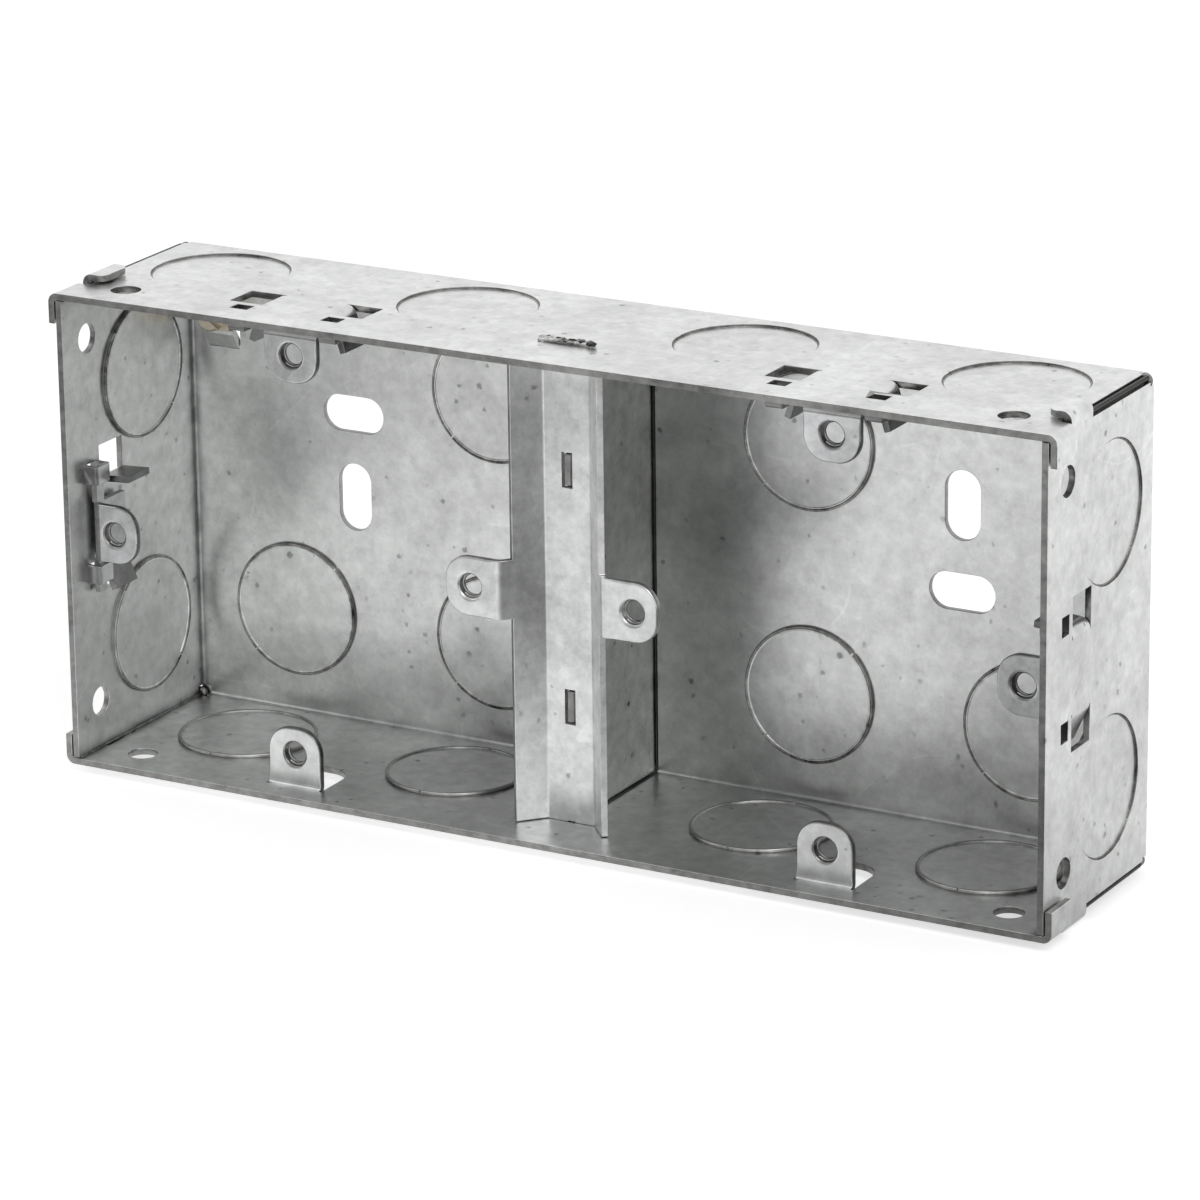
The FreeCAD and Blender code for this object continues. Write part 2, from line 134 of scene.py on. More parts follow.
def make_zinc_group():
    """Builds the node group that gives a zinc surface its clouds, crystals, lines, pits and scratches."""
    tree = bpy.data.node_groups.new("mottled_zinc", "ShaderNodeTree")
    face = tree.interface
    face.new_socket("Vector", in_out="INPUT", socket_type="NodeSocketVector")
    for name in ("Cloud", "Crystal", "Lines", "Pits", "Scratches"):
        face.new_socket(name, in_out="INPUT", socket_type="NodeSocketFloat")
    for name in ("Shade", "Roughness", "Height"):
        face.new_socket(name, in_out="OUTPUT", socket_type="NodeSocketFloat")
    here = add_node(tree, "NodeGroupInput")
    out = add_node(tree, "NodeGroupOutput")
    place, link = here.outputs["Vector"], tree.links.new

    def noise(scale, detail, rough=0.55, source=place):
        node = add_node(tree, "ShaderNodeTexNoise", Scale=scale, Detail=detail, Roughness=rough)
        link(source, node.inputs["Vector"])
        return node.outputs["Fac"]

    def times(a, b):
        return maths(tree, "MULTIPLY", a, b)

    # Clouds, crystals and rolling lines, each a value around zero
    wide = maths(tree, "SUBTRACT", noise(patch_scale, 2.0), 0.5)
    fine = maths(tree, "SUBTRACT", noise(grain_scale, 3.0, 0.7), 0.5)
    clouds = maths(tree, "MULTIPLY_ADD", wide, 1.5, times(fine, 1.5))
    cells = add_node(tree, "ShaderNodeTexVoronoi", Scale=crystal_scale, Randomness=1.0)
    link(place, cells.inputs["Vector"])
    spread = add_node(tree, "ShaderNodeSeparateColor")
    link(cells.outputs["Color"], spread.inputs["Color"])
    crystal = maths(tree, "SUBTRACT", spread.outputs["Red"], 0.5)
    stretch = add_node(tree, "ShaderNodeMapping", Scale=rolling_scale)
    link(place, stretch.inputs["Vector"])
    rolled = maths(tree, "SUBTRACT", noise(1.0, 2.0, 0.6, stretch.outputs["Vector"]), 0.5)

    # A pit is the torn middle of a crystal where the patches are high, and a scratch a contour
    # line where they are low
    patchy = noise(pit_scale, 1.5)
    torn = maths(tree, "MULTIPLY_ADD", fine, 0.5, cells.outputs["Distance"])
    pit = times(ranged(tree, torn, 0.05, 0.15, 1.0, 0.0), ranged(tree, patchy, 0.42, 0.56, 0.0, 1.0))
    contour = maths(tree, "ABSOLUTE", maths(tree, "SUBTRACT", noise(scratch_scale, 0.0), 0.5))
    scratch = times(ranged(tree, contour, 0.001, 0.0045, 1.0, 0.0),
                    ranged(tree, patchy, 0.43, 0.49, 1.0, 0.0))

    # A plain shade of 1, plus each part with its strength from the material, less the pits
    shade = maths(tree, "MULTIPLY_ADD", clouds, here.outputs["Cloud"], 1.0)
    shade = maths(tree, "MULTIPLY_ADD", crystal, here.outputs["Crystal"], shade)
    shade = maths(tree, "MULTIPLY_ADD", rolled, here.outputs["Lines"], shade)
    shade = maths(tree, "MULTIPLY_ADD", scratch, here.outputs["Scratches"], shade)
    shade = maths(tree, "SUBTRACT", shade, times(pit, here.outputs["Pits"]))
    link(shade, out.inputs["Shade"])
    link(ranged(tree, wide, -0.3, 0.3, smoothest, roughest), out.inputs["Roughness"])
    link(maths(tree, "MULTIPLY_ADD", wide, wave_share, fine), out.inputs["Height"])
    return tree


zinc_group = make_zinc_group()
print("zinc group inputs:", [s.name for s in zinc_group.interface.items_tree if s.in_out == "INPUT"])

# %% [markdown]
# ## Painted shade in the folds
#
# Where an end meets the back or another wall, the fold lies in shade, so the colour is painted
# darker there than on the sheet beside it: a painted shade. A mask painted by hand would need an
# image. Here the walls are flat and lie at known places, so the mask comes from how near a point is
# to two of them at once, roughened by a little noise. Outside the walls the mask is zero.


# %% The grime group
wall_x, wall_z, back_y = 78.0 * MM, 35.0 * MM, -1.0 * MM
fold_shade_reach = 2.4 * MM
# The long folds above and below the back get less painted shade than the ends do
long_fold_share = 0.6
fold_shade_noise_scale = 300.0


def make_fold_shade_group():
    """Builds the node group for painted shade: 1 in a fold between two walls, 0 away from it."""
    tree = bpy.data.node_groups.new("fold_painted_shade", "ShaderNodeTree")
    tree.interface.new_socket("Vector", in_out="INPUT", socket_type="NodeSocketVector")
    tree.interface.new_socket("Fold Shade", in_out="OUTPUT", socket_type="NodeSocketFloat")
    here = add_node(tree, "NodeGroupInput")
    out = add_node(tree, "NodeGroupOutput")
    axes = add_node(tree, "ShaderNodeSeparateXYZ")
    tree.links.new(here.outputs["Vector"], axes.inputs["Vector"])

    def times(a, b):
        return maths(tree, "MULTIPLY", a, b)

    def larger(a, b):
        return maths(tree, "MAXIMUM", a, b)

    def near(value, wall):
        return ranged(tree, value, wall - fold_shade_reach, wall - 0.1 * MM, 0.0, 1.0)

    across, along = maths(tree, "ABSOLUTE", axes.outputs["Z"]), maths(tree, "ABSOLUTE", axes.outputs["X"])
    end, side, back = near(along, wall_x), near(across, wall_z), near(axes.outputs["Y"], back_y)
    meet = larger(times(end, larger(side, back)), times(times(side, back), long_fold_share))

    past_walls = larger(maths(tree, "SUBTRACT", along, wall_x), maths(tree, "SUBTRACT", across, wall_z))
    beyond = larger(past_walls, maths(tree, "SUBTRACT", axes.outputs["Y"], back_y))
    inside_only = ranged(tree, beyond, 0.2 * MM, 0.5 * MM, 1.0, 0.0)
    deep = times(times(meet, meet), inside_only)
    rough = add_node(tree, "ShaderNodeTexNoise", Scale=fold_shade_noise_scale, Detail=2.0)
    tree.links.new(here.outputs["Vector"], rough.inputs["Vector"])
    uneven = ranged(tree, rough.outputs["Fac"], 0.35, 0.65, 0.55, 1.0)
    tree.links.new(times(deep, uneven), out.inputs["Fold Shade"])
    return tree


fold_shade_group = make_fold_shade_group()
print("grime reaches", fold_shade_reach / MM, "mm from a fold")

# %% [markdown]
# ## Finishes
#
# All of the box is metal, so a finish differs only in how light it is and how strong each part of
# the mottling is. The open sheet is pale, cut edges are darker, and hammered metal has a coarse
# grain. Some finishes are painted light: the divider, the bent tabs, the sheared lines, the seams,
# the gaps and the relief holes get painted shade, and the rims inside the knockouts a painted
# highlight. Plain materials with one grey each would look like plastic. One function sets up the
# Principled shader, and each finish gives it a colour and strengths.


# %% Materials of the sheet pieces
bump_height = 0.2 * MM


def zinc_material(name, colour, cloud, crystal, lines, pits, scratches=0.0, fold_shade=0.0, bump=0.08):
    """A galvanised sheet finish: metal whose colour and gloss follow the zinc group."""
    material = bpy.data.materials.new(name)
    material.use_nodes = True
    tree = material.node_tree
    link = tree.links.new
    shader = tree.nodes["Principled BSDF"]
    shader.inputs["Metallic"].default_value = 1.0
    place = add_node(tree, "ShaderNodeTexCoord", (-1000, 0))
    zinc = add_node(tree, "ShaderNodeGroup", node_tree=zinc_group)
    link(place.outputs["Object"], zinc.inputs["Vector"])
    for label, value in (("Cloud", cloud), ("Crystal", crystal), ("Lines", lines), ("Pits", pits),
                         ("Scratches", scratches)):
        zinc.inputs[label].default_value = value
    shade = zinc.outputs["Shade"]
    # Painted shade in the folds, for a material that asks for it
    if fold_shade:
        fold_shade_node = add_node(tree, "ShaderNodeGroup", node_tree=fold_shade_group)
        link(place.outputs["Object"], fold_shade_node.inputs["Vector"])
        fold_shade_factor = maths(tree, "MULTIPLY_ADD", fold_shade_node.outputs["Fold Shade"], -fold_shade, 1.0)
        shade = maths(tree, "MULTIPLY", shade, fold_shade_factor)
    tint = add_node(tree, "ShaderNodeVectorMath", (-400, 200), operation="SCALE")
    tint.inputs[0].default_value = colour
    link(shade, tint.inputs["Scale"])
    link(tint.outputs["Vector"], shader.inputs["Base Color"])
    link(zinc.outputs["Roughness"], shader.inputs["Roughness"])
    dent = add_node(tree, "ShaderNodeBump", (-200, -200), Strength=bump, Distance=bump_height)
    link(zinc.outputs["Height"], dent.inputs["Height"])
    link(dent.outputs["Normal"], shader.inputs["Normal"])
    return material


# Each finish: colour, then the strength of clouds, crystals, rolling lines, pits and scratches
shell_zinc = zinc_material("shell_zinc", (0.71, 0.72, 0.712), 0.42, 0.08, 0.06, 0.45, 0.10, fold_shade=0.85)
partition_zinc = zinc_material("partition_zinc", (0.69, 0.695, 0.695), 0.52, 0.10, 0.05, 0.4, 0.06)
# The divider is painted darker, as the shade that it stands in
shaded_divider_zinc = zinc_material("shaded_divider_zinc", (0.42, 0.43, 0.42), 0.60, 0.10, 0.06, 0.6, 0.06)
lug_zinc = zinc_material("lug_zinc", (0.55, 0.555, 0.56), 0.62, 0.10, 0.03, 0.3)
cut_steel = zinc_material("cut_steel", (0.25, 0.25, 0.245), 0.9, 0.15, 0.4, 0.2, bump=0.25)
bright_cut = zinc_material("bright_cut", (0.55, 0.55, 0.545), 0.6, 0.15, 0.2, 0.3, bump=0.2)
# Painted shade on the stop tabs and the fronts of the straps, which lie in shade
shaded_tab_zinc = zinc_material("shaded_tab_zinc", (0.21, 0.213, 0.21), 0.7, 0.10, 0.06, 0.3)
# Painted shade: the three line finishes darken the sheared outlines, the corner seams and the slots beside
# the staked tabs
painted_shade_line = zinc_material("painted_shade_line", (0.20, 0.197, 0.19), 1.8, 0.2, 0.0, 0.0)
wall_ring_shade = zinc_material("wall_ring_shade", (0.28, 0.278, 0.27), 2.0, 0.2, 0.0, 0.0)
# A painted highlight on the rim inside each knockout on the walls
painted_rim_highlight = zinc_material("painted_rim_highlight", (0.80, 0.80, 0.795), 1.2, 0.2, 0.0, 0.0)
bottom_ring_shade = zinc_material("bottom_ring_shade", (0.42, 0.42, 0.415), 0.8, 0.2, 0.0, 0.0)
# Painted shadow, near black, for the slits, the gap round the divider and the dark lumps
painted_gap_shadow = zinc_material("painted_gap_shadow", (0.035, 0.035, 0.034), 1.2, 0.0, 0.0, 0.0)
# Painted shade in the relief holes at the corners
shaded_crevice_zinc = zinc_material("shaded_crevice_zinc", (0.26, 0.26, 0.255), 1.2, 0.2, 0.1, 0.2)
crushed_zinc = zinc_material("crushed_zinc", (0.42, 0.42, 0.415), 3.2, 1.2, 0.0, 0.5, bump=0.9)
earth_brass = zinc_material("earth_brass", (0.66, 0.60, 0.49), 0.35, 0.05, 0.05, 0.2)
thread_steel = zinc_material("thread_steel", (0.42, 0.42, 0.42), 0.5, 0.1, 0.0, 0.0)
print("materials:", [m.name for m in bpy.data.materials])

# %% [markdown]
# ## Places on the box
#
# The ears carry the screw holes, the straps hold the lugs, and the stop tabs end their travel.
# The next steps treat these places in their own way. They could be picked by hand in the
# viewport, but a list of picked edges breaks when the mesh changes, so the places are values
# here, and an edge or face is known by where it lies.

# %% Ears, straps and lugs
sheet = 1.0 * MM
hole_radius = 1.75 * MM
ear_front = box_front + 4.6 * MM
ear_reach = 6.6 * MM
side_screw_z, end_screw_x, inner_screw_x = 30.15 * MM, 73.45 * MM, 13.15 * MM
gang_x, near_end = 43.3 * MM, 60 * MM
strap_y, stop_y = box_front + 6.1 * MM, box_front + 11.25 * MM
stake_y = box_front + 10.3 * MM
earth_x = sum(corner.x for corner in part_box("earth_washer")) / 2
# Each lug: the middle of its two straps, the axis it slides along, and the wall it lies on
lug_places = [(-gang_x, "x", wall_z), (gang_x, "x", wall_z), (0.0, "z", wall_x)]
bottom_ears = [(-gang_x, -side_screw_z), (gang_x, -side_screw_z)]
partition_ears = [(-inner_screw_x, 0.0), (inner_screw_x, 0.0)]


def hole_of(lug):
    """Middle of a lug's hole, from the middle of its CAD box and the known screw lines."""
    low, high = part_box(lug)
    middle = (low + high) / 2
    if abs(middle.x) > near_end:
        return math.copysign(end_screw_x, middle.x), middle.z
    return middle.x, side_screw_z


lugs = {name: hole_of(name) for name in ("top_left_lug", "top_right_lug", "left_end_lug", "right_end_lug")}
print("lug holes in mm:", {k: [round(v / MM, 2) for v in p] for k, p in lugs.items()})

# %% The straps and stop tabs
# How far a strap and a stop tab stand in from the wall, from least to most
strap_depth, stop_depth = (0.05 * MM, 2.3 * MM), (0.6 * MM, 6.0 * MM)
strap_offset, strap_half_length, strap_half_width = 7.6 * MM, 1.5 * MM, 1.9 * MM
stop_span, stop_half_width = (4 * MM, 12 * MM), 3.0 * MM


def lug_zone(place):
    """Says whether a point of the shell is on a strap or a stop tab beside one of the lugs."""
    for middle, along, wall in lug_places:
        inwards = wall - abs(place.x if along == "z" else place.z)
        offset = abs((place.z if along == "z" else place.x) - middle)
        if (strap_depth[0] < inwards < strap_depth[1] and abs(place.y - strap_y) < strap_half_width
                and abs(offset - strap_offset) < strap_half_length):
            return "strap"
        if (stop_depth[0] < inwards < stop_depth[1] and abs(place.y - stop_y) < stop_half_width
                and stop_span[0] < offset < stop_span[1]):
            return "stop tab"
    return None


print("straps stand", round(strap_offset / MM, 2), "mm each side of a lug's middle")

# %% [markdown]
# ## Punched edges
#
# A press tears the last part of a cut and rolls the first part over, so no edge of the real box
# is sharp. Rounding them makes the thin bright lines that tell the eye how thick the sheet is.
# Fillets on every edge would make the CAD model slow, so each sheet piece is copied here, its
# loose triangles are merged, and a Bevel modifier rounds the copy by a tenth of a millimetre.
# The ears are rounded more, because they are coined round their outline and round the hole. The
# slots of the stakes are rounded less, and the window of the earth arm isn't rounded: there a
# corner would be pushed past the line that divides the wall round its openings, and the face
# would fold over itself.

# %% How much each edge is rounded
SHARP = math.radians(35)
funnel, coined, strap_round, plain_round, slot_round, unrounded = 0.6, 0.32, 0.18, 0.10, 0.04, 0.0
# A point this near to a plane lies in it, and an edge shorter than this is a facet of a bend
in_plane, off_plane, bend_facet, long_edge = 0.05 * MM, 0.005 * MM, 0.5 * MM, 2 * MM
stake_slot_half_length, stake_slot_half_width = 5 * MM, 1 * MM
earth_half_width, earth_low, earth_high, earth_front = 3.4 * MM, 19.0 * MM, 32.0 * MM, -1.7 * MM
bend_relief = 0.9 * MM


def edge_size(edge, middle, ears):
    """Rounding for one edge, in millimetres: most at an ear's hole, some on its front and on a strap."""
    for ear in ears:
        away = Vector((middle.x - ear[0], middle.z - ear[1])).length
        if abs(middle.y - ear_front) > in_plane or away > ear_reach:
            continue
        if away < hole_radius + 0.1 * MM:
            return funnel
        near_bend = any(abs(v.co.y - ear_front) > off_plane for e in edge.verts for n in e.link_edges
                        for v in n.verts if n.calc_length() < bend_facet)
        if not near_bend:
            return coined
    if ears is not bottom_ears:
        return plain_round
    if abs(middle.x) < stake_slot_half_length and abs(middle.y - stake_y) < stake_slot_half_width:
        return slot_round
    beside_earth = abs(middle.x - earth_x) < earth_half_width and earth_low < middle.z < earth_high
    if beside_earth and middle.y > earth_front:
        return unrounded
    return strap_round if lug_zone(middle) == "strap" else plain_round


def split_ear_sides(work, ears):
    """Adds a corner on each ear side near its bend, so that its rounding can change size there."""
    for edge in list(work.edges):
        middle = (edge.verts[0].co + edge.verts[1].co) / 2
        on_ear = any(Vector((middle.x - ear[0], middle.z - ear[1])).length < ear_reach for ear in ears)
        if on_ear and abs(middle.y - ear_front) < in_plane and edge.calc_length() > long_edge:
            for corner in edge.verts:
                bends = any(other is not edge and other.calc_length() < bend_facet
                            and abs(other.other_vert(corner).co.y - ear_front) > off_plane
                            for other in corner.link_edges)
                if bends:
                    bmesh.utils.edge_split(edge, corner, bend_relief / edge.calc_length())
                    break


# %% [markdown]
# ## Cut faces
#
# Zinc covers the skin of the sheet, but where the press cut it the bare steel shows darker. The
# faces could be chosen by hand, one by one. A ray sent into the metal finds them instead: behind
# the skin the other skin is one thickness away, and behind a cut there is more metal than that.

# %% Merge a CAD mesh and paint its cut faces
same_place, same_plane, ray_lift = 1e-6, math.radians(0.4), 0.01 * MM
# A cut face has more metal behind it than this, and is no wider than this, in thicknesses
least_metal, most_width = 1.25, 1.1


def merged(node):
    """The CAD node's mesh with its loose triangles joined into flat faces."""
    work = bmesh.new()
    work.from_mesh(frame["nodes"][node].data)
    bmesh.ops.remove_doubles(work, verts=work.verts, dist=same_place)
    bmesh.ops.dissolve_limit(work, angle_limit=same_plane, verts=work.verts, edges=work.edges)
    return work


def paint_cut_faces(work, shell):
    """Gives the second material to the faces where the sheet was cut, found by their thickness.

    The stop tabs, the fronts of the straps and the hammered ends of the partition get the third,
    which on the shell is a painted shade.
    """
    tree = BVHTree.FromBMesh(work)
    for polygon in work.faces:
        inward = -polygon.normal
        place = polygon.calc_center_median_weighted()
        hit = tree.ray_cast(place + inward * ray_lift, inward)
        thick = hit[3] is None or hit[3] > least_metal * sheet
        width = 2 * polygon.calc_area() / polygon.calc_perimeter()
        polygon.material_index = int(thick and width < most_width * sheet)
        zone = lug_zone(place) if shell else None
        staked = not shell and abs(place.z) > wall_z + sheet / 2
        if staked or zone == "stop tab" or zone == "strap" and abs(polygon.normal.y) > 0.5:
            polygon.material_index = 2


# %% [markdown]
# ## The dressed copies
#
# The shell, the partition, the divider and the four lugs are the sheet pieces. Each is replaced
# by its copy with rounded edges, which rides on the same body, so a lug still slides. The CAD
# mesh itself could carry the modifier, but a copy keeps the plain node whole. Weighted normals
# keep the flat faces flat beside the rounded edges.

# %% Round the edges of a copy
bevel_steps, flat_face_weight = 3, 80


def linked(name, data):
    """A new object with this data, put in the scene."""
    thing = bpy.data.objects.new(name, data)
    bpy.context.scene.collection.objects.link(thing)
    return thing


def frozen(thing):
    """Gives an object the mesh that its modifiers make, and removes the modifiers."""
    depsgraph = bpy.context.evaluated_depsgraph_get()
    done = bpy.data.meshes.new_from_object(thing.evaluated_get(depsgraph))
    thing.modifiers.clear()
    thing.data = done
    done.name = thing.name
    print(f"{thing.name}: {len(done.polygons)} faces")
    return thing


def soft_edged(node, material, cut, name, ears=()):
    """A copy of a CAD node with merged faces and rounded edges, which stands for the node."""
    mesh = frame["nodes"][node].data.copy()
    mesh.name = name
    mesh.materials.clear()
    # On the shell the third material is the painted shade of the stop tabs and strap fronts
    for finish in (material, cut, shaded_tab_zinc if node == "box_shell" else crushed_zinc):
        mesh.materials.append(finish)
    work = merged(node)
    paint_cut_faces(work, node == "box_shell")
    split_ear_sides(work, ears)
    weight = work.edges.layers.float.new("bevel_weight_edge")
    for edge in work.edges:
        turn = edge.calc_face_angle_signed(0.0)
        if turn > SHARP:
            middle = (edge.verts[0].co + edge.verts[1].co) / 2
            edge[weight] = edge_size(edge, middle, ears) / funnel
        elif turn < -SHARP:
            edge.smooth = False
    work.to_mesh(mesh)
    work.free()
    piece = linked(name, mesh)
    bevel = piece.modifiers.new("rounded", "BEVEL")
    bevel.limit_method = "WEIGHT"
    bevel.width = funnel * MM
    bevel.segments = bevel_steps
    bevel.use_clamp_overlap = False
    even = piece.modifiers.new("even", "WEIGHTED_NORMAL")
    even.weight = flat_face_weight
    even.keep_sharp = True
    for polygon in mesh.polygons:
        polygon.use_smooth = True
    return frozen(piece)


# %% The sheet pieces
pieces = {
    "box_shell": soft_edged("box_shell", shell_zinc, cut_steel, "shell_sheet", bottom_ears),
    "partition_bridge": soft_edged("partition_bridge", partition_zinc, bright_cut, "partition_sheet",
                                   partition_ears),
    "divider_plate": soft_edged("divider_plate", shaded_divider_zinc, cut_steel, "divider_sheet"),
}
riders = dict.fromkeys(pieces, "box")
for lug, hole in lugs.items():
    pieces[lug] = soft_edged(lug, lug_zinc, cut_steel, lug + "_sheet", [hole])
    riders[lug] = lug.replace("_lug", "_slider")
for node, piece in pieces.items():
    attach(piece, riders[node])
    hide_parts(node)
print("sheet pieces dressed:", len(pieces))

# %% [markdown]
# ## Sheared lines
#
# A knockout is a disc that the press shears part of the way through the wall. Its outline shows
# as a thin dark line of uneven width, painted shade in the shear, with a light rim just inside
# where the metal is pressed up, a painted highlight, and two short breaks. On the outside the line
# lies in the bottom of the step. A groove modelled in the wall would be finer than the facets of
# the circle. These lines repeat and follow a path, so Geometry Nodes sweep a thin bead along arcs.
# The discs are found in the CAD mesh as round flat faces, so no place is written down a second time.


# %% Helpers for Geometry Nodes
def geometry_tree(name, inputs):
    """An empty tree with named inputs: (name, socket type, value)."""
    tree = bpy.data.node_groups.new(name, "GeometryNodeTree")
    face = tree.interface
    face.new_socket("Geometry", in_out="INPUT", socket_type="NodeSocketGeometry")
    for label, kind, value in inputs:
        socket = face.new_socket(label, in_out="INPUT", socket_type=kind)
        if value is not None:
            socket.default_value = value
    face.new_socket("Geometry", in_out="OUTPUT", socket_type="NodeSocketGeometry")
    return tree, tree.nodes.new("NodeGroupInput"), tree.nodes.new("NodeGroupOutput")


def applied(tree, name, mesh, values):
    """Runs a tree on a mesh and returns a new object with the result as a plain mesh."""
    carrier = linked(name, mesh)
    nodes = carrier.modifiers.new("nodes", "NODES")
    nodes.node_group = tree
    sockets = {s.name: s.identifier for s in tree.interface.items_tree if s.in_out == "INPUT"}
    for label, value in values.items():
        nodes[sockets[label]] = value
    return frozen(carrier)


def swept_bead(tree, curve, corners, radius):
    """Sweeps a small circle of a few corners along a curve, and closes the ends."""
    bead = add_node(tree, "GeometryNodeCurvePrimitiveCircle", Resolution=corners)
    tree.links.new(radius, bead.inputs["Radius"])
    swept = add_node(tree, "GeometryNodeCurveToMesh", Fill_Caps=True)
    tree.links.new(curve, swept.inputs["Curve"])
    tree.links.new(bead.outputs["Curve"], swept.inputs["Profile Curve"])
    return swept.outputs["Mesh"]


def realized_and_painted(tree, inside, outside, geometry):
    """Ends a tree: instances become real, and the material is set."""
    real = tree.nodes.new("GeometryNodeRealizeInstances")
    tree.links.new(geometry, real.inputs["Geometry"])
    paint = tree.nodes.new("GeometryNodeSetMaterial")
    tree.links.new(real.outputs["Geometry"], paint.inputs["Geometry"])
    tree.links.new(inside.outputs["Material"], paint.inputs["Material"])
    tree.links.new(paint.outputs["Geometry"], outside.inputs["Geometry"])


# %% Helpers for marks
def marks_mesh(name, marks):
    """Points with a direction each, for instances: (place, facing, turn)."""
    mesh = bpy.data.meshes.new(name)
    mesh.from_pydata([m[0] for m in marks], [], [])
    mesh.attributes.new("facing", "FLOAT_VECTOR", "POINT")
    mesh.attributes.new("twist", "FLOAT", "POINT")
    for i, (_, direction, turn) in enumerate(marks):
        mesh.attributes["facing"].data[i].vector = direction
        mesh.attributes["twist"].data[i].value = turn
    return mesh


def placed_on_marks(tree, inside, outside, instance):
    """Puts an instance on each mark, turned to its direction, and ends the tree."""
    new, link = tree.nodes.new, tree.links.new
    facing = add_node(tree, "GeometryNodeInputNamedAttribute", data_type="FLOAT_VECTOR", Name="facing")
    twist = add_node(tree, "GeometryNodeInputNamedAttribute", data_type="FLOAT", Name="twist")
    aim = add_node(tree, "FunctionNodeAlignRotationToVector", axis="Z")
    link(facing.outputs["Attribute"], aim.inputs["Vector"])
    spin = new("ShaderNodeCombineXYZ")
    link(twist.outputs["Attribute"], spin.inputs["Z"])
    turned = add_node(tree, "FunctionNodeRotateRotation", rotation_space="LOCAL")
    link(aim.outputs["Rotation"], turned.inputs["Rotation"])
    link(spin.outputs["Vector"], turned.inputs["Rotate By"])
    spread = new("GeometryNodeInstanceOnPoints")
    link(inside.outputs["Geometry"], spread.inputs["Points"])
    link(instance, spread.inputs["Instance"])
    link(turned.outputs["Rotation"], spread.inputs["Rotation"])
    realized_and_painted(tree, inside, outside, spread.outputs["Instances"])


# %% The broken ring round a knockout
arc_steps, line_corners = 40, 6
wander_scale, thinnest = 90.0, 0.3


def ring_tree():
    """Two arcs of a thin bead of uneven width, with a break at each bridge."""
    tree, inside, outside = geometry_tree("sheared_ring", (
        ("Radius", "NodeSocketFloat", 0.01), ("Line Width", "NodeSocketFloat", 0.0004),
        ("Bridge Angle", "NodeSocketFloat", 0.2), ("Unevenness", "NodeSocketFloat", 0.0),
        ("Material", "NodeSocketMaterial", None)))
    new, link = tree.nodes.new, tree.links.new
    both = new("GeometryNodeJoinGeometry")
    sweep = maths(tree, "SUBTRACT", math.pi, inside.outputs["Bridge Angle"])
    for first in (0.0, math.pi):
        arc = add_node(tree, "GeometryNodeCurveArc", Resolution=arc_steps)
        start = maths(tree, "MULTIPLY_ADD", inside.outputs["Bridge Angle"], 0.5, first)
        link(inside.outputs["Radius"], arc.inputs["Radius"])
        link(start, arc.inputs["Start Angle"])
        link(sweep, arc.inputs["Sweep Angle"])
        link(arc.outputs["Curve"], both.inputs["Geometry"])
    wander = add_node(tree, "ShaderNodeTexNoise", Scale=wander_scale, Detail=2.0)
    off_middle = maths(tree, "SUBTRACT", wander.outputs["Fac"], 0.5)
    spread = maths(tree, "MULTIPLY", off_middle, inside.outputs["Unevenness"])
    uneven = new("GeometryNodeSetCurveRadius")
    link(both.outputs["Geometry"], uneven.inputs["Curve"])
    link(maths(tree, "MAXIMUM", maths(tree, "ADD", spread, 1.0), thinnest), uneven.inputs["Radius"])
    half_width = maths(tree, "MULTIPLY", inside.outputs["Line Width"], 0.5)
    placed_on_marks(tree, inside, outside,
                    swept_bead(tree, uneven.outputs["Curve"], line_corners, half_width))
    return tree


sheared_ring = ring_tree()
print("ring tree nodes:", len(sheared_ring.nodes))

# %% Find the discs in the CAD mesh
knockout_radius = 10.25 * MM
fewest_corners, disc_error = 24, 0.02 * MM
bridge_turn = 0.8
# The lines outside lie this far down in the step, where the disc meets the wall
step_depth = 0.05 * MM


def knockout_marks():
    """Marks for the knockouts' inner and outer sides, each as (place, facing, turn)."""
    work = merged("box_shell")
    inner, outer = [], []
    for polygon in work.faces:
        if len(polygon.verts) < fewest_corners:
            continue
        middle = sum((v.co for v in polygon.verts), Vector()) / len(polygon.verts)
        if any(abs((v.co - middle).length - knockout_radius) > disc_error for v in polygon.verts):
            continue
        normal = polygon.normal.copy()
        turn = math.pi / 2 if normal.z > 0.5 else bridge_turn
        if normal.dot(middle - Vector((0, box_front / 2, 0))) > 0:
            outer.append((middle - normal * step_depth, normal, turn))
        else:
            inner.append((middle, normal, turn))
    work.free()
    return inner, outer


inner_marks, outer_marks = knockout_marks()
on_bottom = [m for m in inner_marks if m[1].z > 0.5]
on_walls = [m for m in inner_marks if m[1].z <= 0.5]
print("knockout faces found:", len(inner_marks), "inside,", len(outer_marks), "outside")

# %% The lines round the knockouts
bridge_width, ring_unevenness = 0.3 * MM, 2.6
# Each kind of line: its marks, how far inside the disc's edge it runs, its width and its finish
# The lines are painted shade, and the rims a painted highlight
for name, marks, inset, width, finish in (
        ("knockout_lines", on_walls, 0.1 * MM, 0.44 * MM, wall_ring_shade),
        ("knockout_rim_highlights", on_walls, 0.42 * MM, 0.30 * MM, painted_rim_highlight),
        ("outer_knockout_lines", outer_marks, 0.1 * MM, 0.42 * MM, painted_shade_line),
        ("bottom_knockout_lines", on_bottom, 0.1 * MM, 0.6 * MM, bottom_ring_shade)):
    rings = applied(sheared_ring, name, marks_mesh(name + "_marks", marks), {
        "Radius": knockout_radius - inset, "Line Width": width,
        "Bridge Angle": bridge_width / knockout_radius, "Unevenness": ring_unevenness,
        "Material": finish})
    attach(rings, "box")

